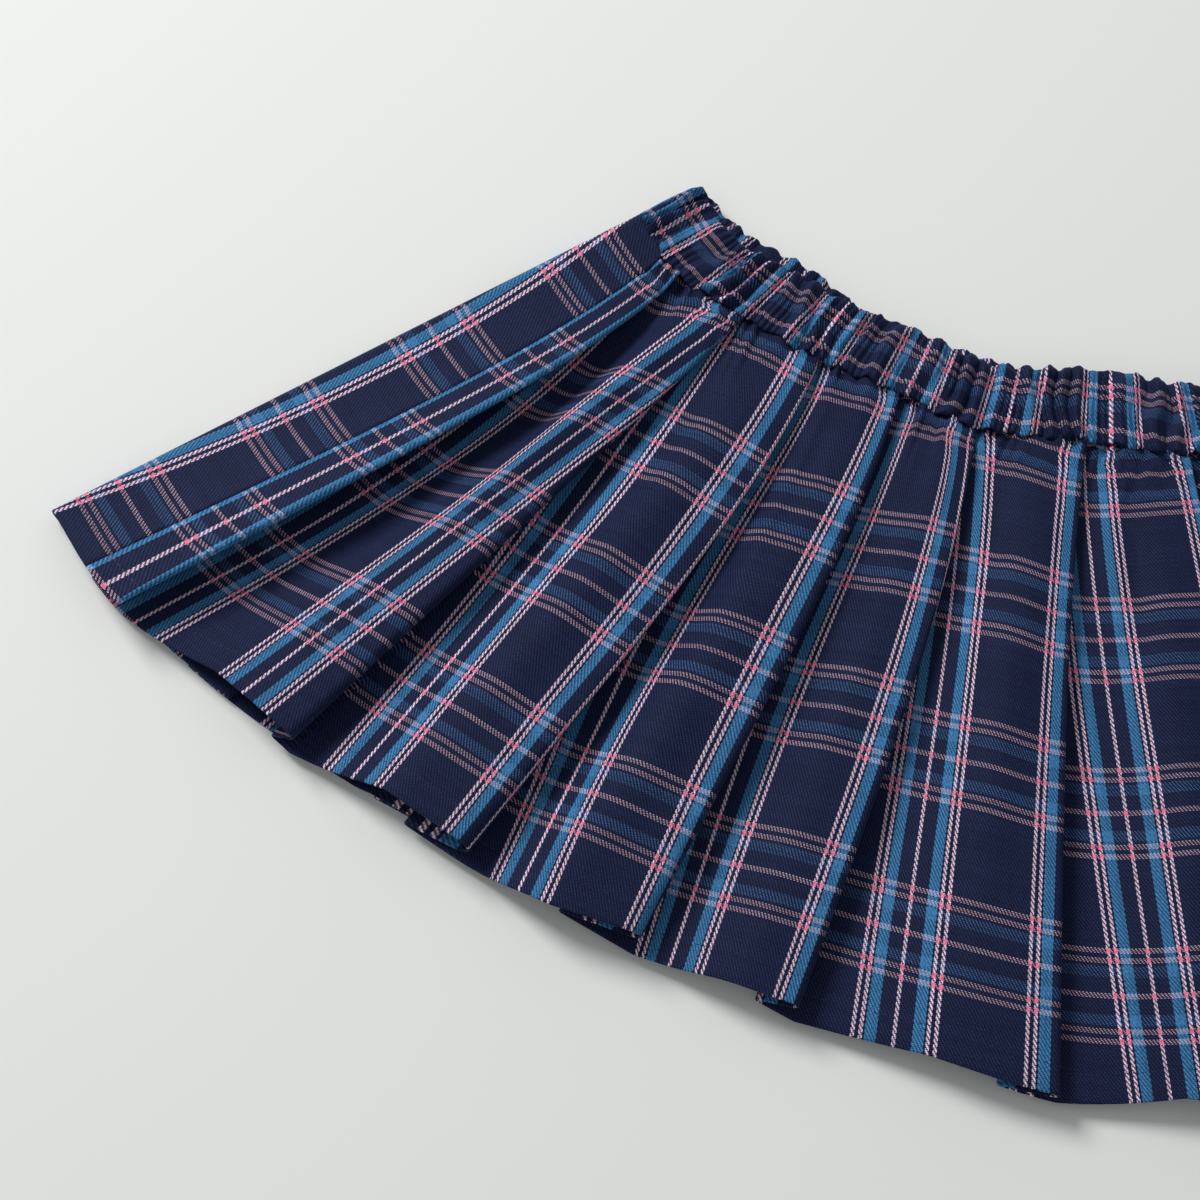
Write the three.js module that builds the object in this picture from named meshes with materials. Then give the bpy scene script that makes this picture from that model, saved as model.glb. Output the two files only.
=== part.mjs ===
import * as THREE from 'three';

// A child's pleated skirt laid flat, front up, with its pleats fanned out towards the hem.
// It is a tube of two pleated panels under one gathered waistband. The tube is turned a
// little, so the left side seam shows on the front and the right one lies underneath.
// Millimetres, +Z up, waist towards +Y, and z = 0 is the surface that the skirt lies on.

// Cloth
const WALL = 1.2;
const LAYER = 1.8; // middle of one pressed layer to the middle of the next
const SEAM_GAP = 0.3;
const BAND_GAP = 0.6; // a little more, because the panels' top edges are in straight steps
const CLOTH_COLOUR = 0x1d2648;
const BAND_COLOUR = 0x232d54;
const CLOTH_ROUGHNESS = 0.9;

// Heights of the front's pressed layers above the surface, each at the middle of the wall
const UNDER_RUN = 6.0;
const RETURN_RUN = UNDER_RUN + LAYER;
const FACE_RUN = RETURN_RUN + LAYER;
const SKIRT_THICKNESS = FACE_RUN + WALL / 2;
const BACK_FACE = SKIRT_THICKNESS - FACE_RUN;

// Pleats
const WAIST_TUCK = 22; // how far a pleat folds back under at the waist seam
const PRESSED_FOLD_RADIUS = LAYER / 2;
const FOLD_OPENS = 0.3; // a fold's radius grows by this share of its lift
const LIFT_GROWTH = 1.3; // how late the lift comes, on the way from waist to hem
const BOW_SKEW = 0.75; // below 1 sets a line's widest swing above its middle
const FIRST_FACE_CURVE = 1.5;
const CLEAR_OF_FOLD = 1.5; // a face starts to rise this far past the fold above it
const CLEAR_OF_TUCK = 3; // and is up this far before the tuck below it
const OVER_TUCK_STEPS = 2; // points of a face where it lies over its tuck
const FOLD_SHARE_OF_TUCK = 0.35; // the last of them is this share of the tuck before the fold
const CLEAR_OF_ARC = 1.5; // and at least this far before the fold starts to turn
const BACK_RISE = 9; // the back's faces reach the surface within this distance
const SIDE_SEAM_AT_WAIST = 0.68; // share of the way from the left edge to the first fold
const SIDE_SEAM_AT_HEM = 0.63;
const SIDE_RADIUS = (FACE_RUN - BACK_FACE) / 2;
const SIDE_STEPS = 6;
const SECTIONS = [0, 0.1, 0.28, 0.52, 0.78, 1]; // shares of the way from waist seam to hem

// Waistband
const BAND_HEIGHT = 30;
const BAND_WALL = 3;
const BAND_TOP = 9.6;
const GATHERS = 75; // small waves across the front of the band
const GATHER_DEPTH = 0.9;
const STEPS_PER_GATHER = 4;
const GATHERS_PER_SWELL = 3.5; // the broader swells that the elastic draws up
const SWELL_DEPTH = 0.7;
const BAND_UNDERSIDE_STEPS = 60;

// One row for each line from the waist seam down to the hem: the left edge, the seven folds
// from left to right and the right edge. tuck is how far the cloth folds back under at the
// hem, lift how far the fold stands off the pressed layers there, bow how far the line swings
// to the right on its way down, and backHem how much higher the back's hem lies.
const LINES = [
  { waistX: -141, waistY: 164, hemX: -309, hemY: -49, tuck: 0, lift: 0, bow: 0, backHem: 0 },
  { waistX: -114, waistY: 143, hemX: -262, hemY: -79, tuck: 24, lift: 9, bow: 12, backHem: -2 },
  { waistX: -82, waistY: 135, hemX: -177, hemY: -103, tuck: 9, lift: 10, bow: 2, backHem: -4 },
  { waistX: -46, waistY: 128, hemX: -97, hemY: -118, tuck: 27, lift: 11, bow: 9, backHem: -3 },
  { waistX: -10, waistY: 126, hemX: -24, hemY: -124, tuck: 31, lift: 9, bow: 6, backHem: 3 },
  { waistX: 24, waistY: 123, hemX: 40, hemY: -127, tuck: 17, lift: 7, bow: 6, backHem: 10 },
  { waistX: 64, waistY: 131, hemX: 141, hemY: -124, tuck: 21, lift: 5, bow: 1, backHem: 18 },
  { waistX: 108, waistY: 144, hemX: 231, hemY: -95, tuck: 22, lift: 5, bow: 1, backHem: 10 },
  { waistX: 141, waistY: 164, hemX: 309, hemY: -49, tuck: 0, lift: 0, bow: 0, backHem: 0 },
];
const LAST = LINES.length - 1;

const FRONT = { mirrored: false, rise: Infinity, lifted: true };
const BACK = { mirrored: true, rise: BACK_RISE, lifted: false };

const mix = (a, b, t) => a + (b - a) * t;

// A smooth curve through one column of the table; line runs from 0 to LAST.
function column(key, line) {
  const t = Math.min(Math.max(line, 0), LAST);
  const i = Math.min(Math.floor(t), LAST - 1);
  const f = t - i;
  const at = (n) => LINES[Math.min(Math.max(n, 0), LAST)][key];
  const first = i > 0 ? (at(i + 1) - at(i - 1)) / 2 : at(1) - at(0);
  const second = i + 2 <= LAST ? (at(i + 2) - at(i)) / 2 : at(LAST) - at(LAST - 1);
  const f2 = f * f;
  const f3 = f2 * f;
  return at(i) * (2 * f3 - 3 * f2 + 1) + first * (f3 - 2 * f2 + f)
    + at(i + 1) * (3 * f2 - 2 * f3) + second * (f3 - f2);
}

function waistPoint(line) {
  return new THREE.Vector3(column('waistX', line), column('waistY', line), 0);
}

// Level direction square to the waist seam, towards the hem.
function squareToWaist(line) {
  const step = 0.05;
  const along = waistPoint(line + step).sub(waistPoint(line - step));
  return new THREE.Vector3(along.y, -along.x, 0).normalize();
}

// Unit vector from the waist seam to the hem along one line.
function downward(line) {
  const hem = new THREE.Vector3(column('hemX', line), column('hemY', line), 0);
  return hem.sub(waistPoint(line)).normalize();
}

// A place on the front: down is the share of the way from the waist seam to the hem.
function place(line, down) {
  const waist = waistPoint(line);
  const hem = new THREE.Vector3(column('hemX', line), column('hemY', line), 0);
  const way = hem.clone().sub(waist).normalize();
  const bow = column('bow', line) * Math.sin(Math.PI * down ** BOW_SKEW);
  return waist.lerp(hem, down).add(new THREE.Vector3(-way.y, way.x, 0).multiplyScalar(bow));
}

// Millimetres across the skirt for one step of the line number.
function spread(line, down) {
  const step = 0.01;
  const a = Math.max(line - step, 0);
  const b = Math.min(line + step, LAST);
  return place(a, down).distanceTo(place(b, down)) / (b - a);
}

function liftAt(k, down, side) {
  return side.lifted ? LINES[k].lift * down ** LIFT_GROWTH : 0;
}

function foldRadius(k, down, side) {
  return PRESSED_FOLD_RADIUS + FOLD_OPENS * liftAt(k, down, side);
}

function sideSeam(down) {
  return mix(SIDE_SEAM_AT_WAIST, SIDE_SEAM_AT_HEM, down);
}

// Height of the cloth between the left edge and the first fold.
function firstFace(line, down) {
  return FACE_RUN + LINES[1].lift * down ** LIFT_GROWTH * line ** FIRST_FACE_CURVE;
}

// Adds points of an arc to a profile, with the angles in degrees.
function arc(profile, centre, height, radius, perLine, from, to, steps) {
  for (let i = 0; i <= steps; i += 1) {
    const angle = THREE.MathUtils.degToRad(mix(from, to, i / steps));
    const line = centre + radius * Math.cos(angle) / perLine;
    profile.push({ line, z: height + radius * Math.sin(angle) });
  }
}

// The middle of the wall across one section, from the left side seam over every pleat,
// round the right edge and back underneath to the right side seam.
function panelProfile(side, down) {
  const profile = [];
  const start = sideSeam(down) + SEAM_GAP / 2 / spread(0.5, down);
  const startHeight = (line) => (side.lifted ? firstFace(line, down) : FACE_RUN);
  profile.push({ line: start, z: startHeight(start) });
  for (let k = 1; k < LAST; k += 1) {
    const perLine = spread(k, down);
    const radius = foldRadius(k, down, side);
    const top = FACE_RUN + liftAt(k, down, side);
    arc(profile, k - radius / perLine, top - radius, radius, perLine, 90, -90, 4);
    const tuck = mix(WAIST_TUCK, LINES[k].tuck, down);
    const valley = k - (tuck - PRESSED_FOLD_RADIUS) / perLine;
    const between = (UNDER_RUN + RETURN_RUN) / 2;
    profile.push({ line: (k + valley) / 2, z: mix(top - 2 * radius, RETURN_RUN, 0.55) });
    arc(profile, valley, between, PRESSED_FOLD_RADIUS, perLine, 90, 270, 3);
    profile.push({ line: k - tuck / 2 / perLine, z: UNDER_RUN });
    riseToNextFold(profile, side, k, down);
  }
  const edge = LAST - SIDE_RADIUS / spread(LAST, down);
  arc(profile, edge, BACK_FACE + SIDE_RADIUS, SIDE_RADIUS, spread(LAST, down), 90, -90, SIDE_STEPS);
  wrapUnderneath(profile, side, down);
  return profile;
}

// From under fold k up to the height at which fold k + 1 or the right edge turns.
function riseToNextFold(profile, side, k, down) {
  const next = k + 1;
  const atEdge = next === LAST;
  const topHeight = FACE_RUN + (atEdge ? 0 : liftAt(next, down, side));
  const tuck = atEdge ? SIDE_RADIUS : mix(WAIST_TUCK, LINES[next].tuck, down);
  const from = k + CLEAR_OF_FOLD / spread(k, down);
  const room = next - (tuck + CLEAR_OF_TUCK) / spread(next, down) - from;
  const to = from + Math.min(room, side.rise / spread(k + 0.3, down));
  const steps = 3;
  for (let i = 0; i <= steps; i += 1) {
    const t = i / steps;
    const height = mix(UNDER_RUN, topHeight, Math.sin(t * Math.PI / 2));
    profile.push({ line: mix(from, to, t), z: height });
  }
  const level = atEdge ? 0 : OVER_TUCK_STEPS;
  const beforeTurn = Math.max(tuck * FOLD_SHARE_OF_TUCK, foldRadius(next, down, side) + CLEAR_OF_ARC);
  const turn = next - beforeTurn / spread(next, down);
  for (let i = 1; i <= level; i += 1) {
    profile.push({ line: mix(to, turn, i / level), z: topHeight });
  }
}

// From the right edge to the right side seam. On the back panel, which is the same shape
// turned over, this stretch is the one that shows left of the seam on the front. Its lines
// are counted from the left edge and turned over, so that both sides of a seam agree.
function wrapUnderneath(profile, side, down) {
  const end = sideSeam(down) - SEAM_GAP / 2 / spread(0.5, down);
  const steps = 2;
  for (let i = 1; i <= steps; i += 1) {
    const inward = mix(SIDE_RADIUS / spread(0, down), end, i / steps);
    const raised = side.mirrored ? firstFace(inward, down) - FACE_RUN : 0;
    profile.push({ line: inward, z: BACK_FACE - raised, turned: true });
  }
}

function profilePoint(side, point, down) {
  const at = place(point.line, down);
  at.z = point.z;
  if (side.mirrored && !point.turned) at.y += column('backHem', point.line) * down;
  if (Boolean(point.turned) !== side.mirrored) at.x = -at.x;
  if (side.mirrored) at.z = SKIRT_THICKNESS - at.z;
  return at;
}

// The direction down the cloth at each point of the grid. At the waist it is square to the
// seam, so that the wall's top edge stays on the seam.
function downGrid(side, profiles, rows) {
  return rows.map((row, j) => row.map((point, i) => {
    if (j > 0) return rows[Math.min(j + 1, rows.length - 1)][i].clone().sub(rows[j - 1][i]);
    const source = profiles[0][i];
    const way = squareToWaist(source.line);
    if (Boolean(source.turned) !== side.mirrored) way.x = -way.x;
    return way;
  }));
}

// Moves each point of a section sideways off the cloth's middle by the given distance.
function offsetRow(row, downs, distance) {
  return row.map((point, i) => {
    const before = point.clone().sub(row[Math.max(i - 1, 0)]);
    const after = row[Math.min(i + 1, row.length - 1)].clone().sub(point);
    const normals = [before, after].filter((v) => v.lengthSq() > 0);
    normals.forEach((v) => v.cross(downs[i]).normalize());
    const normal = normals.reduce((sum, v) => sum.add(v), new THREE.Vector3()).normalize();
    const mitre = 1 / normal.dot(normals[normals.length - 1]);
    return point.clone().addScaledVector(normal, distance * mitre);
  });
}

// A closed solid between two grids of points whose edges are joined all round.
// With ringed true the grids close on themselves across, as a tube does.
function solidBetween(outer, inner, ringed) {
  const positions = [];
  const indices = [];
  const number = (grid) => grid.map((row) => row.map((point) => {
    positions.push(point.x, point.y, point.z);
    return positions.length / 3 - 1;
  }));
  const quad = (a, b, c, d) => indices.push(a, b, c, a, c, d);
  const surface = (grid, outward) => {
    for (let j = 0; j + 1 < grid.length; j += 1) {
      const width = grid[j].length;
      for (let i = 0; i < (ringed ? width : width - 1); i += 1) {
        const n = (i + 1) % width;
        const corners = [grid[j][i], grid[j + 1][i], grid[j + 1][n], grid[j][n]];
        quad(...(outward ? corners : corners.reverse()));
      }
    }
  };
  const out = number(outer);
  const into = number(inner);
  surface(out, true);
  surface(into, false);
  surface([into[0], out[0]], true);
  surface([out[out.length - 1], into[into.length - 1]], true);
  if (!ringed) {
    for (let j = 0; j + 1 < out.length; j += 1) {
      const end = out[j].length - 1;
      quad(into[j][0], into[j + 1][0], out[j + 1][0], out[j][0]);
      quad(out[j][end], out[j + 1][end], into[j + 1][end], into[j][end]);
    }
  }
  const geometry = new THREE.BufferGeometry();
  geometry.setAttribute('position', new THREE.Float32BufferAttribute(positions, 3));
  geometry.setIndex(indices);
  geometry.computeVertexNormals();
  return geometry;
}

function cloth(color) {
  const settings = { color, roughness: CLOTH_ROUGHNESS, metalness: 0, side: THREE.DoubleSide };
  return new THREE.MeshStandardMaterial(settings);
}

function panel(name, side) {
  const profiles = SECTIONS.map((down) => panelProfile(side, down));
  const rows = profiles.map((profile, j) => (
    profile.map((point) => profilePoint(side, point, SECTIONS[j]))));
  const downs = downGrid(side, profiles, rows);
  const outer = rows.map((row, j) => offsetRow(row, downs[j], -WALL / 2));
  const inner = rows.map((row, j) => offsetRow(row, downs[j], WALL / 2));
  const mesh = new THREE.Mesh(solidBetween(outer, inner, false), cloth(CLOTH_COLOUR));
  mesh.name = name;
  return mesh;
}

// Height of the gathers on the band's front above its plain wall.
function gatherHeight(share) {
  const wave = (count) => 0.5 - 0.5 * Math.cos(2 * Math.PI * count * share);
  return GATHER_DEPTH * wave(GATHERS) + SWELL_DEPTH * wave(GATHERS / GATHERS_PER_SWELL);
}

// One ring of the band, inset from its outer face; raised adds the gathers on top.
function bandRing(up, inset, raised) {
  const ring = [];
  const point = (line, z, turned = false) => {
    const at = waistPoint(line).addScaledVector(downward(line), -up);
    at.z = z;
    if (turned) at.x = -at.x;
    ring.push(at);
  };
  const half = BAND_TOP / 2;
  const radius = half - inset;
  const perLeft = spread(0, 0);
  const perRight = spread(LAST, 0);
  const turn = (centre, perLine, from) => {
    for (let i = 1; i < SIDE_STEPS; i += 1) {
      const angle = THREE.MathUtils.degToRad(from - 180 * i / SIDE_STEPS);
      point(centre + radius * Math.cos(angle) / perLine, half + radius * Math.sin(angle));
    }
  };
  const left = half / perLeft;
  const right = LAST - half / perRight;
  const steps = GATHERS * STEPS_PER_GATHER;
  for (let i = 0; i <= steps; i += 1) {
    const share = i / steps;
    point(mix(left, right, share), BAND_TOP - inset + (raised ? gatherHeight(share) : 0));
  }
  turn(right, perRight, 90);
  for (let i = 0; i <= BAND_UNDERSIDE_STEPS; i += 1) {
    point(mix(left, right, i / BAND_UNDERSIDE_STEPS), inset, true);
  }
  turn(left, perLeft, 270);
  return ring;
}

function waistband() {
  const heights = [BAND_HEIGHT, BAND_HEIGHT / 2, BAND_GAP];
  const outer = heights.map((up) => bandRing(up, 0, true));
  const inner = [BAND_HEIGHT, BAND_GAP].map((up) => bandRing(up, BAND_WALL, false));
  const mesh = new THREE.Mesh(solidBetween(outer, inner, true), cloth(BAND_COLOUR));
  mesh.name = 'waistband';
  return mesh;
}

const skirt = new THREE.Group();
skirt.name = 'pleated_skirt';
skirt.add(panel('front_panel', FRONT), panel('back_panel', BACK), waistband());

// The origin is on the surface, under the middle of the skirt's outline.
const outline = new THREE.Box3().setFromObject(skirt);
const middle = outline.getCenter(new THREE.Vector3());
skirt.position.set(-middle.x, -middle.y, -outline.min.z);

export default skirt;
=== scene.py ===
# %% [markdown]
# # A pleated checked skirt, laid flat
# A child's school skirt is two pleated panels and a gathered band, all cut from one checked
# twill, and it lies on a table with its front up. The check could be laid on a rough shape, but
# real folds hide and show it in a way that only folded cloth can.

# %% The frame
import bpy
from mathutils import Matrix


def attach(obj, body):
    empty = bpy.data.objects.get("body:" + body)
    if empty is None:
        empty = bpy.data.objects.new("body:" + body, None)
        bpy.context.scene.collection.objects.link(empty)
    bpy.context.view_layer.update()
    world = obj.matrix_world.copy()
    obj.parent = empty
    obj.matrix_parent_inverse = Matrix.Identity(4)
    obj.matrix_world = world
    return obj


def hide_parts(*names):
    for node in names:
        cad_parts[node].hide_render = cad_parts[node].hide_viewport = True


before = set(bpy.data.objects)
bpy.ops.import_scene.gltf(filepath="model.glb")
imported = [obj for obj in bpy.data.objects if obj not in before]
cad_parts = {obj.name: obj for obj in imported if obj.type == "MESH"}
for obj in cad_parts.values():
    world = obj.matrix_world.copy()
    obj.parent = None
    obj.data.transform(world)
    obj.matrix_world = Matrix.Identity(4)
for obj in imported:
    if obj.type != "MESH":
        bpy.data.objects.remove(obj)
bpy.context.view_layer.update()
print("pieces in the frame:", list(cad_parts))

# %% Libraries and units
import math

import bpy
import numpy as np

mm = 0.001  # lengths are in metres, and this turns a size in millimetres into metres

# %% [markdown]
# ## The lines of the skirt
# Each pleat ends in a pressed fold that runs from the waist seam to the hem, and on the laid
# skirt the folds fan out. They could be drawn as separate curves. One table with a smooth curve
# through each column is used instead, because the cloth between two folds then follows both.
# The lines are the left edge, seven folds and the right edge, numbered from 0.

# %% The table of lines
# For each line: where it starts at the waist and ends at the hem, how far the cloth tucks back
# under it at the hem, how far the fold stands up there, how far the line bows to the right, and
# how much higher the back's hem lies there than the front's.
LINES = mm * np.array([
    # waist x, y   hem x, y    tuck lift bow  back's hem
    [-141, 164, -309, -49, 0, 0, 0, 0],
    [-114, 143, -262, -79, 24, 12, 12, 5],
    [-82, 135, -177, -103, 9, 10, 2, 6],
    [-46, 128, -97, -118, 27, 11, 9, 2],
    [-10, 126, -24, -124, 31, 9, 6, 3],
    [24, 123, 40, -127, 17, 7, 6, 10],
    [68, 134, 141, -124, 21, 5, -4, 15],
    [108, 144, 231, -95, 22, 5, 1, 8],
    [141, 164, 309, -49, 0, 0, 0, 0],
])
WAIST_X, WAIST_Y, HEM_X, HEM_Y, TUCK, LIFT, BOW, BACK_HEM = LINES.T
EDGE = len(LINES) - 1  # number of the right edge
MIDDLE = np.array([0, 30.028]) * mm  # middle of the outline, which is the frame's origin
print("folds:", EDGE - 1)

# %% Places on the laid skirt
# A place is named by its line number, which may lie between two lines, and by down, which runs
# from 0 at the waist seam to 1 at the hem.
BOW_SKEW = 0.75  # below 1 sets a line's widest swing above its middle


def along(values, line):
    """A smooth curve through one column of the table."""
    t = np.clip(line, 0, EDGE)
    i = np.minimum(t.astype(int), EDGE - 1)
    f = t - i
    slope = np.gradient(values)
    return (values[i] * (2 * f**3 - 3 * f**2 + 1) + slope[i] * (f**3 - 2 * f**2 + f)
            + values[i + 1] * (3 * f**2 - 2 * f**3) + slope[i + 1] * (f**3 - f**2))


def place(line, down):
    """Where a place lies on the surface."""
    line = np.asarray(line, float)
    waist = np.stack([along(WAIST_X, line), along(WAIST_Y, line)], -1)
    hem = np.stack([along(HEM_X, line), along(HEM_Y, line)], -1)
    way = (hem - waist) / np.linalg.norm(hem - waist, axis=-1, keepdims=True)
    bow = along(BOW, line) * np.sin(np.pi * np.clip(down, 0, 1) ** BOW_SKEW)
    side = np.stack([-way[..., 1], way[..., 0]], -1)
    return waist + (hem - waist) * down + side * bow[..., None] - MIDDLE


def spread(line, down):
    """Length across the skirt for one step of the line number."""
    step = 0.01
    a, b = max(line - step, 0), min(line + step, EDGE)
    return float(np.linalg.norm(place(b, down) - place(a, down))) / (b - a)


def line_length(line):
    return np.linalg.norm(place(line, 1) - place(line, 0), axis=-1)


def way_down(line):
    """Direction from the waist seam to the hem."""
    way = place(line, 1) - place(line, 0)
    return way / np.linalg.norm(way, axis=-1, keepdims=True)


print("line lengths in mm:", [round(float(line_length(k)) / mm) for k in range(EDGE + 1)])

# %% [markdown]
# A check is a fixed count of coloured threads in both directions, and a maker lays the pleats
# by it, about two repeats apart. Stripes could be drawn where they show, but then they would
# slip where a pleat opens. So each place on the cloth is counted in threads, and the same count
# gives the colours later, and the width of cloth that a panel takes.

# %% Threads
END_PITCH = 10 * mm / 26  # one warp thread, running from waist to hem
PICK_PITCH = 10 * mm / 18.6  # one weft thread, running across
WARP_REPEAT = 176
WEFT_REPEAT = 132
REPEAT = WARP_REPEAT * END_PITCH
print(f"check repeat {REPEAT / mm:.1f} mm across, {WEFT_REPEAT * PICK_PITCH / mm:.1f} mm along")

# Each face comes out from under the fold to its left and ends at its own fold. Both are counted
# in repeats from the middle of a navy square: at the waist, at the hem, and how far the fold
# swings off the check in between.
FACE_STARTS = [(2.37, 2.37, 0), (3.93, 3.42, -0.10), (5.75, 5.00, -0.06), (7.61, 7.04, 0.25),
               (9.52, 9.25, 0.18), (11.60, 10.93, 0), (13.51, 12.81, -0.02), (16.17, 15.18, 0)]
FACE_FOLDS = [(2.63, 2.62, 0.05), (4.58, 5.00, 0.09), (6.52, 6.53, 0), (8.44, 8.43, 0.04),
              (10.58, 10.47, -0.05), (12.45, 12.48, 0), (14.40, 14.40, 0), (16.72, 16.67, -0.22)]
CUT_END = (17.02, 17.15, 0)  # the side seam at the other end of the panel

# %% How the check hangs
# How far the cross stripes sit above their plain place, where each face starts and at its fold,
# because no pleat is pressed quite on the grain.
STRIPE_RISE = mm * np.array([13, 13, 12, 10.5, 5, 1, -0.5, 0.5, -2.5, 4.5, -1, 7, 1, 7, 2, 7, 7])

# How much further the hem hangs than the plain curve, for each face.
HEM_HANG = mm * np.array([
    # start, middle, fold
    [0, 0, 0],
    [0, -5, 0],
    [3, -3, 0],
    [3.5, 5, 0],
    [6, 2, 0],
    [4, -2, -2],
    [-1, -8, 0],
    [2, 0, 0],
])
print("the hem hangs off its curve by up to", round(float(abs(HEM_HANG).max()) / mm), "mm")

# %% [markdown]
# ## A pleat seen from the hem
# From the hem, a knife pleat is a flat Z: the face on top, the run back under it and the start of
# the next face below. A cloth simulation could press it, but its layers sink into each other
# easily. So each layer has its own height above the surface. The folds bulge and open by
# given amounts, as they do in soft cloth that only lies there.

# %% Heights of the layers
LAYER = 1.8 * mm
UNDER_RUN = 6.0 * mm
RETURN_RUN = UNDER_RUN + LAYER
FACE_RUN = RETURN_RUN + LAYER
UNDER_BACK = 0.6 * mm  # from the table up to the back's faces
THICKNESS = FACE_RUN + UNDER_BACK
BACK_FACE = THICKNESS - FACE_RUN
CREASE_RADIUS = LAYER / 2
SIDE_RADIUS = (FACE_RUN - BACK_FACE) / 2
WAIST_TUCK = 22 * mm
print(f"the pleated tube is {THICKNESS / mm:.1f} mm thick where it is pressed")

# %% Lift and roll of each fold
LIFT_GROWTH = 1.3  # how late the lift comes, on the way from waist to hem
BULGE = mm * np.array([0, 12, 6, 6, 7, 4, 4, 3, 0])  # how much further up, halfway down

# A fold's radius grows by this share of its lift, and by more where it opens at the hem.
ROLL = [0, 0.04, 0.18, 0.10, 0.14, 0.18, 0.2, 0.2, 0]
HEM_ROLL = [0, 0, 0.05, 0.38, 0.34, 0.15, 0.1, 0.1, 0]
HEM_ROLL_STARTS = 0.75


def mix(a, b, t):
    return a + (b - a) * t


def lift_at(k, down, front):
    at = max(down, 0)
    return LIFT[k] * at**LIFT_GROWTH + BULGE[k] * math.sin(math.pi * at) if front else 0.0


def fold_radius(k, down, front):
    near_hem = min(max((down - HEM_ROLL_STARTS) / (1 - HEM_ROLL_STARTS), 0), 1)
    return CREASE_RADIUS + (ROLL[k] + HEM_ROLL[k] * near_hem) * lift_at(k, down, front)


print("lift halfway down in mm:", [round(lift_at(k, 0.5, True) / mm, 1) for k in range(1, EDGE)])

# %% The side seam and the first face
# The tube is turned a little, so the left side seam lies on the front.
SIDE_SEAM = (0.68, 0.63)  # its line number at the waist and at the hem
SEAM_GAP = 0.05 * mm  # on each side of the seam
FIRST_FACE_CURVE = 1.5  # above 1, the face rises late, near its fold


def side_seam(down):
    return mix(*SIDE_SEAM, down)


def first_face(line, down):
    """Height of the cloth that rises from the left edge to the first fold."""
    return FACE_RUN + lift_at(1, down, True) * line**FIRST_FACE_CURVE


print("top of the first face in mm:", round(first_face(1, 0.5) / mm, 1))

# %% [markdown]
# ## One pleated row
# One weft thread crosses the panel from side seam to side seam: up to a fold, back underneath,
# round the inner crease and out again as the next face. A panel is a stack of such rows. A flat
# sheet could be bent instead, but here each stretch always has the same number of points, so
# neighbouring rows match and can be joined by plain four-sided faces.

# %% A row and its bends
class Row:
    def __init__(self, front, down):
        self.front, self.down = front, down
        self.lines, self.heights, self.marks = [], [], []

    def add(self, line, height):
        line = np.atleast_1d(line)
        self.lines.extend(line)
        self.heights.extend(np.broadcast_to(height, line.shape))

    def bend(self, centre, height, radius, per_line, a, b, steps):
        """Part of a circle, between two angles in degrees."""
        angle = np.radians(np.linspace(a, b, steps + 1))
        self.add(centre + radius * np.cos(angle) / per_line, height + radius * np.sin(angle))

    def mark(self, value, back=0):
        """Gives a point, counted back from the last one, its place on the check."""
        at = max(self.down, 0)
        repeats = mix(value[0], value[1], at) + value[2] * math.sin(math.pi * at)
        self.marks.append((len(self.lines) - 1 - back, repeats))


# Points in each stretch of a row.
OPENING_POINTS, RETURN_POINTS, UNDER_POINTS = 9, 8, 7
CLIMB_POINTS, FACE_POINTS, WRAP_POINTS = 16, 8, 15
FOLD_STEPS, CREASE_STEPS, SIDE_STEPS = 10, 6, 12
RETURN_SAG = 0.2  # how much the run back falls early
print("points round a fold:", FOLD_STEPS + 1)

# %% From fold to fold
CLEAR_OF_FOLD = 1.5 * mm  # how far a face runs on below before it rises
CLEAR_OF_CREASE = 3 * mm
BACK_RISE = 9 * mm  # the back's faces are pressed flat, so they rise at once
BACK_RISE_AT = 0.3
SOFT_CLIMB = 0.85  # how much of the front's rise is an S rather than a quarter wave
LATE_CLIMB = 1.3


def from_side_seam(row):
    start = side_seam(row.down) + SEAM_GAP / spread(0.5, row.down)
    first_fold = 1 - fold_radius(1, row.down, row.front) / spread(1, row.down)
    opening = mix(start, first_fold, np.linspace(0, 1, OPENING_POINTS)[:-1])
    row.add(opening, first_face(opening, row.down) if row.front else FACE_RUN)
    row.mark(FACE_STARTS[0], back=len(opening) - 1)


def fold_under(row, k):
    """Round fold k, back underneath it, round the inner crease and out again."""
    per_line = spread(k, row.down)
    radius = fold_radius(k, row.down, row.front)
    top = FACE_RUN + lift_at(k, row.down, row.front)
    row.bend(k - radius / per_line, top - radius, radius, per_line, 90, -90, FOLD_STEPS)
    row.mark(FACE_FOLDS[k - 1], back=FOLD_STEPS // 2)
    tuck = mix(WAIST_TUCK, TUCK[k], max(row.down, 0))
    valley = k - (tuck - CREASE_RADIUS) / per_line
    t = np.linspace(0, 1, RETURN_POINTS)[1:-1]
    fall = t * (1 + RETURN_SAG - RETURN_SAG * t)
    row.add(mix(k - radius / per_line, valley, t), mix(top - 2 * radius, RETURN_RUN, fall))
    row.bend(valley, (UNDER_RUN + RETURN_RUN) / 2, CREASE_RADIUS, per_line, 90, 270, CREASE_STEPS)
    row.add(mix(valley, k, np.linspace(0, 1, UNDER_POINTS)[1:]), UNDER_RUN)
    row.mark(FACE_STARTS[k])


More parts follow.
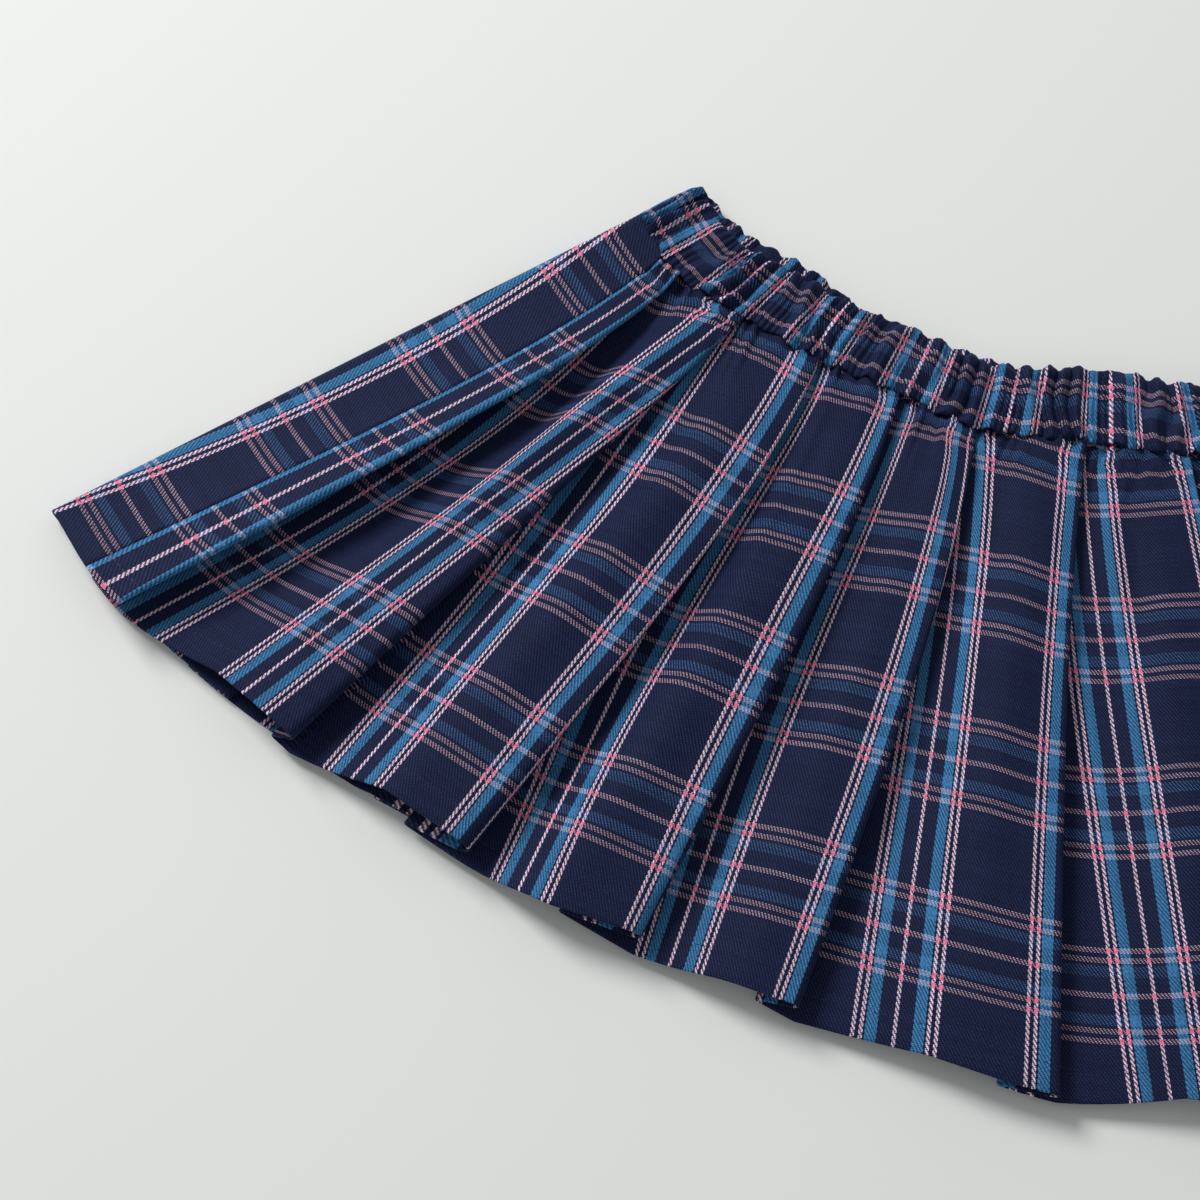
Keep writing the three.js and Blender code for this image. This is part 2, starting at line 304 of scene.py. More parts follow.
def next_face(row, k):
    """Up from under fold k, and on to the next fold or to the right edge."""
    down, front, last = row.down, row.front, k + 1 == EDGE
    top = FACE_RUN + (0 if last else lift_at(k + 1, down, front))
    tuck = SIDE_RADIUS if last else mix(WAIST_TUCK, TUCK[k + 1], max(down, 0))
    start = k + CLEAR_OF_FOLD / spread(k, down)
    room = k + 1 - (tuck + CLEAR_OF_CREASE) / spread(k + 1, down) - start
    rise = room if front else min(room, BACK_RISE / spread(k + BACK_RISE_AT, down))
    t = np.linspace(0, 1, CLIMB_POINTS)
    climb = np.sin(t * np.pi / 2)
    if front:
        climb = mix(climb, (0.5 - 0.5 * np.cos(t * np.pi)) ** LATE_CLIMB, SOFT_CLIMB)
    row.add(mix(start, start + rise, t), mix(UNDER_RUN, top, climb))
    radius = SIDE_RADIUS if last else fold_radius(k + 1, down, front)
    turn = k + 1 - radius / spread(k + 1, down)
    row.add(mix(start + rise, turn, np.linspace(0, 1, FACE_POINTS)[1:-1]), top)


def round_the_edge(row):
    """Round the right edge, and on the other side to the far side seam."""
    per_edge = spread(EDGE, row.down)
    centre = EDGE - SIDE_RADIUS / per_edge
    row.bend(centre, BACK_FACE + SIDE_RADIUS, SIDE_RADIUS, per_edge, 90, -90, SIDE_STEPS)
    row.mark(FACE_FOLDS[EDGE - 1], back=SIDE_STEPS // 2)
    past_edge = len(row.lines)
    end = side_seam(row.down) - SEAM_GAP / spread(0.5, row.down)
    inward = mix(SIDE_RADIUS / spread(0, row.down), end, np.linspace(0, 1, WRAP_POINTS)[1:])
    row.add(inward, BACK_FACE - (0 if row.front else first_face(inward, row.down) - FACE_RUN))
    row.mark(CUT_END)
    return past_edge


def pleated_row(front, down):
    """Line numbers, heights, marks, and which points lie past the right edge."""
    row = Row(front, down)
    from_side_seam(row)
    for k in range(1, EDGE):
        fold_under(row, k)
        next_face(row, k)
    past_edge = round_the_edge(row)
    turned = np.arange(len(row.lines)) >= past_edge
    return np.array(row.lines), np.array(row.heights), row.marks, turned


print("points across a row:", len(pleated_row(True, 0.5)[0]))

# %% [markdown]
# ## Creases and puckers
# Soft cloth keeps shallow troughs and ridges where it was carried and laid down, and it puckers
# below a gathered seam. They could be modelled point by point, but a crease is told well by its
# two ends, its width and its height, so that each one can be set by hand and moved by itself.

# %% Creases
# Each runs from one place to another, given as (line, down). A height below nought is a trough.
FRONT_CREASES = [
    # from            to             width      height
    ((1.25, 0.02), (1.35, 0.42), 5 * mm, -2.6 * mm),
    ((1.62, 0.05), (1.70, 0.60), 7 * mm, 2.9 * mm),
    ((1.30, 0.55), (1.22, 0.98), 9 * mm, -1.9 * mm),
    ((2.30, 0.03), (2.38, 0.50), 6 * mm, -2.4 * mm),
    ((2.66, 0.10), (2.60, 0.85), 10 * mm, 2.4 * mm),
    ((3.35, 0.02), (3.42, 0.36), 5 * mm, -2.1 * mm),
    ((3.62, 0.30), (3.55, 0.95), 9 * mm, 1.9 * mm),
    ((4.40, 0.02), (4.45, 0.48), 6 * mm, -1.9 * mm),
    ((4.70, 0.02), (4.72, 0.22), 4 * mm, 1.6 * mm),
    ((5.32, 0.02), (5.40, 0.30), 5 * mm, -2.2 * mm),
    ((5.66, 0.05), (5.62, 0.70), 10 * mm, 2.1 * mm),
    ((6.40, 0.02), (6.46, 0.38), 6 * mm, -2.4 * mm),
    ((6.68, 0.20), (6.60, 0.90), 9 * mm, 1.9 * mm),
    ((7.42, 0.02), (7.50, 0.55), 7 * mm, -2.2 * mm),
    ((0.30, 0.05), (0.36, 0.70), 6 * mm, 1.6 * mm),
]
BACK_CREASES = [
    ((1.45, 0.05), (1.50, 0.60), 7 * mm, 0.8 * mm),
    ((2.50, 0.02), (2.42, 0.45), 6 * mm, 0.9 * mm),
    ((3.60, 0.10), (3.50, 0.80), 9 * mm, 0.7 * mm),
    ((4.45, 0.02), (4.55, 0.50), 6 * mm, 0.9 * mm),
    ((5.55, 0.20), (5.60, 0.90), 9 * mm, 0.7 * mm),
    ((6.50, 0.02), (6.44, 0.40), 6 * mm, 0.9 * mm),
    ((7.40, 0.10), (7.52, 0.75), 8 * mm, 0.8 * mm),
]
CREASE_ENDS = 0.02  # share of its length that fades out at each end
CREASE_TAPER = 0.6


def crease_height(points, creases):
    """Sum of the creases at places on the surface."""
    height = np.zeros(points.shape[:-1])
    for (line_a, down_a), (line_b, down_b), width, rise in creases:
        a, b = place(line_a, down_a), place(line_b, down_b)
        t = np.clip(((points - a) @ (b - a)) / ((b - a) @ (b - a)), 0, 1)
        away = np.linalg.norm(points - a - t[..., None] * (b - a), axis=-1)
        taper = np.sin(np.pi * np.clip(t, CREASE_ENDS, 1 - CREASE_ENDS)) ** CREASE_TAPER
        height += rise * taper * np.exp(-((away / width) ** 2))
    return height


print("creases:", len(FRONT_CREASES), "in front,", len(BACK_CREASES), "behind")

# %% Puckers below the waist seam
# Each wave has a size, the radians that it turns in a millimetre, and where it starts. Their
# lengths have no common measure, so no two puckers are alike.
PUCKER_DEPTH = 1.5 * mm
PUCKER_FADE = 1.5
FINE_PUCKERS, FINE_DRIFT = (1.0, 1.15), [(0.9, 0.31, 0)]
WIDE_PUCKERS, WIDE_DRIFT = (0.7, 0.47), [(1.3, 0.13, 0)]
PUCKER_REACH = 13  # millimetres, more or less by these waves
REACH_WAVES = [(5, 0.21, 0), (4, 0.083, 1)]


def waves(s, rows):
    """Sum of waves at a distance in millimetres."""
    return sum(size * np.sin(s * turn + start) for size, turn, start in rows)


def pucker_height(across, below_seam):
    """Small gathers that run a short way down, uneven in length and depth."""
    s = across / mm
    height = 0
    for (size, turn), drift in ((FINE_PUCKERS, FINE_DRIFT), (WIDE_PUCKERS, WIDE_DRIFT)):
        height = height + size * np.sin(s * turn + waves(s, drift))
    reach = (PUCKER_REACH + waves(s, REACH_WAVES)) * mm
    return PUCKER_DEPTH * height * np.exp(-((below_seam / reach) ** PUCKER_FADE))


print(f"the finest puckers are {2 * math.pi / FINE_PUCKERS[1]:.1f} mm apart")

# %% [markdown]
# ## The panels' cloth
# A real panel is one width of skirting, hemmed along one edge. The back is the front's shape
# turned over, and pressed flatter because the skirt's weight lies on it. A plane with a Solidify
# modifier could stand for it, but the hem has to turn up inside, so the rows go on round the hem
# and up behind it, and both sides of the cloth are made here as one closed shell.

# %% Rows of a panel
CLOTH = 0.5 * mm
# How far down each row lies, closer together at the seam and at the hem.
DOWNS = np.concatenate([[-0.008, 0], np.linspace(0.008, 0.12, 12), np.linspace(0.14, 0.88, 42),
                        np.linspace(0.9, 1, 9)])
FRONT_CHECK_START = 6 * mm  # middle of a navy square above the hem
BACK_CHECK_START = -8 * mm
CREASES_END, CREASES_FADE = 1.04, 0.2  # the creases die out towards the hem
BUMP_LIMIT = 1.3
SEAM_DIP, SEAM_DIP_REACH = 0.9 * mm, 1.5 * mm  # the seam pulls the cloth down beside it


def front_relief(plan, z, down, below):
    fade = np.clip((CREASES_END - down) / CREASES_FADE, 0, 1)
    bump = fade * crease_height(plan, FRONT_CREASES) + pucker_height(plan[:, 0], below)
    z = z + bump * np.clip(z / FACE_RUN, 0, BUMP_LIMIT)
    return z - SEAM_DIP * np.exp(-((below / SEAM_DIP_REACH) ** 2)) * (z / FACE_RUN)


def back_relief(plan, z):
    bump = crease_height(plan * [-1, 1], BACK_CREASES)
    return z + bump * np.clip(1 - z / THICKNESS, 0, 1)


def hem_shape(walked, at):
    """Distances across the row and how far the hem hangs there: start, middle and fold of each face."""
    where, hang = [], []
    for k in range(EDGE):
        start, fold = walked[at[2 * k]], walked[at[2 * k + 1]]
        where += [start, (start + fold) / 2, fold]
        hang += list(HEM_HANG[k])
    return where, hang


def panel_grid(front):
    """Middle of the cloth and its cloth coordinates, row by row from the waist to the hem."""
    points, coords = [], []
    for down in DOWNS:
        line, height, marks, turned = pleated_row(front, down)
        plan = place(line, down)
        if not front:
            plan[:, 1] += np.where(turned, 0, along(BACK_HEM, line) * max(down, 0))
        plan[turned != (not front), 0] *= -1
        length = line_length(line)
        if front:
            z = front_relief(plan, height, down, np.clip(down, 0, 1) * length)
        else:
            z = back_relief(plan, THICKNESS - height)
        row = np.column_stack([plan, z])
        walked = np.concatenate([[0], np.cumsum(np.linalg.norm(np.diff(row, axis=0), axis=1))])
        at, value = (list(column) for column in zip(*marks))
        u = REPEAT * np.interp(walked, walked[at], value)
        v = (1 - down) * length - (FRONT_CHECK_START if front else BACK_CHECK_START)
        if front:
            hang = max(down, 0) ** 2 * np.interp(walked, *hem_shape(walked, at))
            row[:, :2] += way_down(line) * np.where(turned, 0, hang)[:, None]
            v -= np.interp(walked, walked[at], STRIPE_RISE) + hang
        points.append(row)
        coords.append(np.column_stack([u, v]))
    return np.array(points), np.array(coords)


front_grid, front_coords = panel_grid(True)
back_grid, back_coords = panel_grid(False)
print("rows and points across:", front_grid.shape[:2])

# %% The turned-up hem
TURN_GAP = 0.55 * mm  # from the cloth's middle to that of the turned-up cloth
TURN_CLOTH = TURN_GAP * 1.6  # cloth that the roll takes
TURNED_ROWS = 4


def grid_normals(grid):
    across, downwards = np.gradient(grid, axis=1), np.gradient(grid, axis=0)
    normal = np.cross(downwards, across)
    return normal / np.linalg.norm(normal, axis=-1, keepdims=True)


def turn_up(points, coords):
    """Adds the rows of the hem: the roll and the turned-up cloth on the wrong side."""
    normal = grid_normals(points)
    half = TURN_GAP / 2
    outwards = points[-1] - points[-2]
    outwards /= np.linalg.norm(outwards, axis=-1, keepdims=True)
    rows, uvs = [points], [coords]
    for angle in np.radians([45, 90, 135]):
        inwards, past_hem = half * (1 - math.cos(angle)), half * math.sin(angle)
        rows.append((points[-1] - normal[-1] * inwards + outwards * past_hem)[None])
        uvs.append((coords[-1] - [0, half * angle])[None])
    for row in range(-1, -1 - TURNED_ROWS, -1):
        rows.append((points[row] - normal[row] * TURN_GAP)[None])
        depth = np.linalg.norm(points[-1] - points[row], axis=-1)
        uv = np.column_stack([coords[-1][:, 0], coords[-1][:, 1] - TURN_CLOTH - depth])
        uvs.append(uv[None])
    return np.concatenate(rows), np.concatenate(uvs)


turned_depth = np.linalg.norm(front_grid[-1] - front_grid[-TURNED_ROWS], axis=-1)
print(f"the hem is turned up by {turned_depth.mean() / mm:.1f} mm")

# %% A closed shell of cloth
def quads(table):
    corners = [table[:-1, :-1], table[1:, :-1], table[1:, 1:], table[:-1, 1:]]
    return np.stack(corners, -1).reshape(-1, 4)


def shell_faces(number, uv_number, count, ring):
    """Faces of the right side, the wrong side and the rims, and the coordinates of their corners."""
    outer, outer_uv = quads(number), quads(uv_number)
    faces, face_uvs = [outer, outer[:, ::-1] + count], [outer_uv, outer_uv[:, ::-1]]
    rims = [(number[0], uv_number[0]), (number[-1][::-1], uv_number[-1][::-1])]
    if not ring:
        rims.append((number[:, 0][::-1], uv_number[:, 0][::-1]))
        rims.append((number[:, -1], uv_number[:, -1]))
    for edge, uv in rims:
        faces.append(np.stack([edge[:-1], edge[1:], edge[1:] + count, edge[:-1] + count], -1))
        face_uvs.append(np.stack([uv[:-1], uv[1:], uv[1:], uv[:-1]], -1))
    return np.concatenate(faces), np.concatenate(face_uvs)


def shell(name, grid, coords, thickness, ring=False):
    """A closed thin shell round a grid of points, with its cloth coordinates as a UV map."""
    normal = grid_normals(grid)
    if ring:
        wrapped = np.concatenate([grid[:, -2:], grid, grid[:, :2]], axis=1)
        normal = grid_normals(wrapped)[:, 2:-2]
    rows, columns = grid.shape[:2]
    number = np.arange(rows * columns).reshape(rows, columns)
    if ring:
        number = np.concatenate([number, number[:, :1]], axis=1)
    uv_number = np.arange(coords.shape[0] * coords.shape[1]).reshape(coords.shape[:2])
    faces, face_uvs = shell_faces(number, uv_number, rows * columns, ring)
    flat = grid.reshape(-1, 3)
    offset = normal.reshape(-1, 3) * thickness / 2
    mesh = bpy.data.meshes.new(name)
    mesh.from_pydata(np.concatenate([flat + offset, flat - offset]).tolist(), [], faces.tolist())
    layer = mesh.uv_layers.new(name="cloth")
    corner_uvs = coords.reshape(-1, 2)[face_uvs.reshape(-1)]
    layer.data.foreach_set("uv", corner_uvs.astype(np.float32).ravel())
    mesh.polygons.foreach_set("use_smooth", np.ones(len(faces), bool))
    mesh.validate()
    piece = bpy.data.objects.new(name, mesh)
    bpy.context.scene.collection.objects.link(piece)
    print(name, "triangles:", 2 * len(faces))
    return piece


front = shell("front_cloth", *turn_up(front_grid, front_coords), CLOTH)
back = shell("back_cloth", *turn_up(back_grid, back_coords), CLOTH)

# %% [markdown]
# ## The waistband
# The band is a strip of the same cloth, doubled over elastic: it rises from the seam, folds
# over at the top and goes down inside. The elastic gathers it into ribs a few millimetres wide,
# and into broader swells. The ribs could be a bump in the material, but they show against the
# surface at the top edge, so they are real. One section of the band is carried round it, and
# waves of several lengths push it outwards.

# %% Sizes of the band
BAND_HEIGHT = 30 * mm
BAND_THICKNESS = 9.6 * mm  # of the flattened band, before it is gathered
GATHER_DEPTH, RIB = 4.3 * mm, 9.0 * mm
FINE_DEPTH, FINE_RIB = 0.7 * mm, 2.9 * mm
SWELL_DEPTH, SWELL = 0.9 * mm, 21 * mm
BAND_REPEAT = 40.4 * mm  # a repeat of the check takes this much gathered band
BAND_PHASE = -0.70
BAND_CHECK_START = -28.5 * mm

# Up from the seam, and inwards from the band's outer face.
BAND_SECTION = mm * np.array([
    [1.6, 2.2], [0.9, 1.5], [0.6, 0.8], [1.1, 0.3], [2.2, 0.1], [4, 0], [7, 0], [10, 0], [13, 0],
    [16, 0], [19, 0], [22, 0], [25, 0], [27.3, 0.05], [28.8, 0.3], [29.7, 0.9], [30, 1.6],
    [29.6, 2.3], [28.4, 2.7], [24, 2.8], [16, 2.8], [8, 2.8], [2, 2.8]])
print("a repeat is gathered to", round(BAND_REPEAT / REPEAT, 2), "of its width")

# %% Gathers
# As with the puckers, each wave has a size, radians for a millimetre and where it starts.
RIB_LEAN = [(2.4, 0.061, 0.11), (0.8, 0.19, 0.24)]  # and here radians for a millimetre upwards
RIB_CROWDING = [(2.2, 0.13, 0), (1.3, 0.057, 2)]
FINE_CROWDING = [(1.7, 0.19, 0)]
SWELL_CROWDING = [(1.6, 0.043, 1)]
RIB_FOOT = 0.25  # share of a rib's height that lies below the plain band
RIB_SHARPNESS = 1.2
RIB_SKEW = 0.5
RIB_MEAN, RIB_SPREAD = 0.74, 0.26  # no two ribs stand equally high
SPREAD_TURN, SPREAD_RISE = 0.17, 0.06


def hump(turn):
    return 0.5 + 0.5 * np.sin(turn)


def gathers(s, up):
    """Height of the ribs and swells above the plain band, at distance s round it."""
    s, up = s / mm, up / mm
    s = s + sum(size * np.sin(up * rise + s * turn) for size, turn, rise in RIB_LEAN)
    turn = 2 * np.pi * s / (RIB / mm) + waves(s, RIB_CROWDING)
    rib = hump(turn + RIB_SKEW * np.sin(turn)) ** RIB_SHARPNESS
    fine = hump(2 * np.pi * s / (FINE_RIB / mm) + waves(s, FINE_CROWDING))
    swell = hump(2 * np.pi * s / (SWELL / mm) + waves(s, SWELL_CROWDING))
    uneven = RIB_MEAN + RIB_SPREAD * np.sin(s * SPREAD_TURN + up * SPREAD_RISE)
    return GATHER_DEPTH * (rib * uneven - RIB_FOOT) + FINE_DEPTH * fine + SWELL_DEPTH * swell


HIGHEST_GATHER = GATHER_DEPTH * (1 - RIB_FOOT) + FINE_DEPTH + SWELL_DEPTH
print(f"the ribs stand up to {HIGHEST_GATHER / mm:.1f} mm off the plain band")

# %% Round the band
FRONT_COLUMNS, BACK_COLUMNS, BEND_COLUMNS = 900, 700, 21


def ring_columns():
    """Line number, side angle and turned flag for each column round the flattened band."""
    half = BAND_THICKNESS / 2
    left, right = half / spread(0, 0), EDGE - half / spread(EDGE, 0)
    columns = []
    for line in np.linspace(left, right, FRONT_COLUMNS)[:-1]:
        columns.append((line, 90, False))
    for angle in np.linspace(90, -90, BEND_COLUMNS)[:-1]:
        columns.append((right, angle, False))
    for line in np.linspace(left, right, BACK_COLUMNS)[:-1]:
        columns.append((line, -90, True))
    for angle in np.linspace(270, 90, BEND_COLUMNS)[:-1]:
        columns.append((left, angle, False))
    lines, angles, turned = (np.array(column) for column in zip(*columns))
    return lines, np.radians(angles), turned


lines_round, angles_round, turned_round = ring_columns()
print("columns round the band:", len(lines_round))

# %% The gathered band
TALLER, TALLEST_AT = 0.14, 6.4  # the band stands taller near this line
EDGE_WAVE, EDGE_TURN, EDGE_DRIFT = 0.8 * mm, 0.52, [(1.4, 0.11, 0)]
EDGE_WAVE_BETWEEN = 0.4  # share of the edges' wave that the middle of the band has
BOTTOM_EDGE, TOP_EDGE = 3 * mm, 26 * mm
TOP_FOLD = 28 * mm
GATHER_INSIDE = 0.75  # share of the ribs' height on the inner layer
GATHER_AT_TOP = 0.7  # and at the top fold
INNER_LAYER = 1.5 * mm
BENDING = 1e-6  # the sideways share of a column that lies on a bend
CHECK_PULL = 0.35  # how unevenly the elastic gathers the check


def ring(up, inset):
    """Points round the band at one height above the seam and one depth inside its outer face."""
    per_line = np.where(lines_round < EDGE / 2, spread(0, 0), spread(EDGE, 0))
    radius = BAND_THICKNESS / 2 - inset
    sideways = np.cos(angles_round)
    line = lines_round + np.where(np.abs(sideways) > BENDING, radius * sideways / per_line, 0)
    tall = 1 + TALLER * np.exp(-((line - TALLEST_AT) ** 2))
    plan = place(line, 0) - way_down(line) * np.reshape(up * tall, (-1, 1))
    plan[turned_round, 0] *= -1
    return np.column_stack([plan, BAND_THICKNESS / 2 + radius * np.sin(angles_round)])


def gathered(up, inset, s):
    """One row round the band, pushed out by the gathers. Underneath, the highest ribs touch the table."""
    above = np.sin(angles_round) >= 0
    at_edge = up > TOP_EDGE or up < BOTTOM_EDGE
    wave = EDGE_WAVE * np.sin(s / mm * EDGE_TURN + waves(s / mm, EDGE_DRIFT))
    row = ring(up + wave * (1 if at_edge else EDGE_WAVE_BETWEEN), inset)
    share = (1 if inset < INNER_LAYER else GATHER_INSIDE) * (GATHER_AT_TOP if up > TOP_FOLD else 1)
    push = gathers(s, np.full(len(s), up)) * share
    row[:, 2] += np.where(above, push, HIGHEST_GATHER - push) * np.abs(np.sin(angles_round))
    return row


def band_grid():
    """Middle of the band's cloth and its cloth coordinates, from the seam over the top and down."""
    base = ring(np.full(len(lines_round), BAND_HEIGHT / 2), 0.0)
    step = np.linalg.norm(np.diff(np.vstack([base, base[:1]]), axis=0), axis=1)
    s = np.concatenate([[0], np.cumsum(step)])
    print(f"round the band: {s[-1] / mm:.0f} mm")
    repeats = s / BAND_REPEAT + BAND_PHASE
    u = REPEAT * (repeats + CHECK_PULL * np.sin(2 * np.pi * repeats) / (2 * np.pi))
    walked = np.linalg.norm(np.diff(BAND_SECTION, axis=0, prepend=BAND_SECTION[:1]), axis=1).cumsum()
    rows = [gathered(up, inset, s[:-1]) for up, inset in BAND_SECTION]
    coords = [np.column_stack([u, np.full(len(s), v - BAND_CHECK_START)]) for v in walked]
    return np.array(rows), np.array(coords)


band = shell("band_cloth", *band_grid(), CLOTH, ring=True)

# %% [markdown]
# ## Nodes and colours
# A material and a tree of Geometry Nodes are both built from nodes. They could be wired by
# hand in Blender's editor, but here one small function adds a node, with its settings and its
# links. Colours are written as the hex codes that a screen shows, and turned to linear light.

# %% Helpers for nodes and colours
def add_node(tree, kind, inputs=None, **settings):
    """Adds a node with its settings, and links or sets its inputs. A node gives its first output."""
    made = tree.nodes.new(kind)
    for key, value in settings.items():
        setattr(made, key, value)
    for key, value in (inputs or {}).items():
        if isinstance(value, bpy.types.Node):
            value = value.outputs[0]
        if isinstance(value, bpy.types.NodeSocket):
            tree.links.new(value, made.inputs[key])
        else:
            made.inputs[key].default_value = value
    return made


def colour(hex_code):
    """A screen colour as linear light, by the sRGB curve."""
    parts = [int(hex_code[i:i + 2], 16) / 255 for i in (1, 3, 5)]
    return [p / 12.92 if p <= 0.04045 else ((p + 0.055) / 1.055) ** 2.4 for p in parts] + [1]


def new_material(name, finish):
    """A material with its shader's plain settings."""
    material = bpy.data.materials.new(name)
    material.use_nodes = True
    for key, value in finish.items():
        material.node_tree.nodes["Principled BSDF"].inputs[key].default_value = value
    return material


print("mid grey in linear light:", round(colour("#808080")[0], 3))

# %% [markdown]
# ## The checked twill
# School skirting is a 2/2 twill of cotton and polyester, woven from yarn that was dyed first,
# and finished matt with a short nap. Its check could be a picture, but a picture blurs close up
# and can't be stretched. Here each thread's number picks its colour from a chart, and the twill
# rule decides whether the warp or the weft lies on top. That gives the slanting rope look of
# the pink lines and the paler squares where two blue stripes cross.

# %% Charts of threads
NAVY = colour("#0e132c")
BLUE = colour("#3b7fae")
PINK_WARP = colour("#ecccda")
PINK_WEFT = colour("#b99db2")
SALMON = colour("#ea7c9e")
WEFT_NAVY = colour("#27335c")
WEFT_BLUE = colour("#3f6193")
HALF_WARP, HALF_WEFT = WARP_REPEAT / 2, WEFT_REPEAT / 2

# Half a repeat, from the middle of a navy square to the middle of the single pink line. Each
# entry is the thread at which a colour or a number starts.
WARP_CHART = [(0, NAVY), (44, PINK_WARP), (48, NAVY), (52, PINK_WARP), (56, NAVY), (58, BLUE),
              (70, NAVY), (86, PINK_WARP)]
WEFT_CHART = [(0, WEFT_NAVY), (32, PINK_WEFT), (36, WEFT_NAVY), (39, PINK_WEFT), (43, WEFT_NAVY),
              (45, WEFT_BLUE), (53, WEFT_NAVY), (64, PINK_WEFT)]
PINK_WARP_LINES = [(0, 0), (44, 1), (48, 0), (52, 1), (56, 0), (86, 1)]
PINK_WEFT_LINES = [(0, 0), (32, 1), (36, 0), (39, 1), (43, 0), (64, 1)]

# The warp is set closer than the weft and bulges over it, so a weft thread shows only its
# middle. The pink and blue ends are finer, so it shows more there and the stripes look roped.
WEFT_SHOWS = [(0, 0.27), (44, 0.46), (48, 0.27), (52, 0.46), (56, 0.27), (58, 0.4), (70, 0.27),
              (86, 0.46)]
print("coloured bands in half a repeat:", len(WARP_CHART), "of warp,", len(WEFT_CHART), "of weft")

# %% Weaving by the charts
MATH, MIX = "ShaderNodeMath", "ShaderNodeMix"
MIX_A, MIX_B, MIXED = 6, 7, 2  # the sockets of a Mix node that hold colours
FIRST_WEFT_NUMBER = 400  # keeps the weft's numbers apart from the warp's
TWILL_REPEAT = 4
WARP_OVER = 1.5  # steps 0 and 1 have the warp on top, steps 2 and 3 the weft


def place_on_chart(tree, thread, half_repeat):
    """How far a thread is from the middle of a navy square: 0 there, and 1 at half a repeat."""
    middle = add_node(tree, MATH, {0: thread, 1: 0.5}, operation="ADD")
    away = add_node(tree, MATH, {0: middle, 1: half_repeat}, operation="PINGPONG")
    return add_node(tree, MATH, {0: away, 1: half_repeat}, operation="DIVIDE")


def read_chart(tree, at, half_repeat, rows):
    """What a chart says at a place on it."""
    ramp = add_node(tree, "ShaderNodeValToRGB", {"Fac": at})
    ramp.color_ramp.interpolation = "CONSTANT"
    for number, (start, value) in enumerate(rows):
        if number < 2:  # a new ramp comes with two stops
            stop = ramp.color_ramp.elements[number]
            stop.position = start / half_repeat
        else:
            stop = ramp.color_ramp.elements.new(start / half_repeat)
        stop.color = value if isinstance(value, list) else [value, value, value, 1]
    return ramp


def weave(tree, ends, picks):
    """Colour of the woven cloth, number of the thread on top, and where the warp is on top."""
    end = add_node(tree, MATH, {0: ends}, operation="FLOOR")
    pick = add_node(tree, MATH, {0: picks}, operation="FLOOR")
    across = place_on_chart(tree, end, HALF_WARP)
    along_cloth = place_on_chart(tree, pick, HALF_WEFT)
    diagonal = add_node(tree, MATH, {0: end, 1: pick}, operation="ADD")
    step = add_node(tree, MATH, {0: diagonal, 1: TWILL_REPEAT}, operation="FLOORED_MODULO")
    weft_turn = add_node(tree, MATH, {0: step, 1: WARP_OVER}, operation="GREATER_THAN")
    in_pick = add_node(tree, MATH, {0: picks}, operation="FRACT")
    off_middle = add_node(tree, MATH, {0: in_pick, 1: 0.5}, operation="SUBTRACT")
    off_middle = add_node(tree, MATH, {0: off_middle}, operation="ABSOLUTE")
    shows = read_chart(tree, across, HALF_WARP, WEFT_SHOWS)
    weft_middle = add_node(tree, MATH, {0: off_middle, 1: shows}, operation="LESS_THAN")
    weft_top = add_node(tree, MATH, {0: weft_turn, 1: weft_middle}, operation="MULTIPLY")
    warp_top = add_node(tree, MATH, {0: 1.0, 1: weft_top}, operation="SUBTRACT")
    warp = read_chart(tree, across, HALF_WARP, WARP_CHART)
    weft = read_chart(tree, along_cloth, HALF_WEFT, WEFT_CHART)
    woven = add_node(tree, MIX, {0: warp_top, MIX_A: weft, MIX_B: warp}, data_type="RGBA")
    pink_end = read_chart(tree, across, HALF_WARP, PINK_WARP_LINES)
    pink_pick = read_chart(tree, along_cloth, HALF_WEFT, PINK_WEFT_LINES)
    both_pink = add_node(tree, MATH, {0: pink_end, 1: pink_pick}, operation="MULTIPLY")
    woven = {0: both_pink, MIX_A: woven.outputs[MIXED], MIX_B: SALMON}
    woven = add_node(tree, MIX, woven, data_type="RGBA").outputs[MIXED]
    return woven, top_thread(tree, end, pick, warp_top, weft_top), warp_top


def top_thread(tree, end, pick, warp_top, weft_top):
    """A number of its own for each thread, warp or weft."""
    weft_number = add_node(tree, MATH, {0: pick, 1: FIRST_WEFT_NUMBER}, operation="ADD")
    weft_part = add_node(tree, MATH, {0: weft_number, 1: weft_top}, operation="MULTIPLY")
    return add_node(tree, MATH, {0: end, 1: warp_top, 2: weft_part}, operation="MULTIPLY_ADD")


print("the twill repeats every", TWILL_REPEAT, "threads")

# %% [markdown]
# ## Shade and relief of the cloth
# No two threads take the dye alike, the nap catches the light in tufts, and a worn skirt is
# paler in patches. The threads could each be modelled, but there are thousands, so their shade
# is noise of three sizes, and their round backs are a bump that follows the same thread count.

# %% The finish of the cloth
# Each share is how much the noise changes the shade, and the shade where it is nought.
NAP_TUFT = 10 * mm / 11  # eleven tufts of nap to the centimetre
WORN_PATCH = 100 * mm / 6  # six soft patches to 10 cm
DYE_SHARE, NAP_SHARE, WORN_SHARE = (0.35, 0.66), (1.6, 0.2), (0.4, 0.86)
THREAD_RELIEF, RELIEF_STRENGTH = 0.12 * mm, 0.35
WEFT_RELIEF = 0.9
TWILL_FINISH = {"Roughness": 0.7, "Specular IOR Level": 0.1, "Sheen Weight": 0.1,
                "Sheen Roughness": 0.4, "Sheen Tint": colour("#7f93d6")}


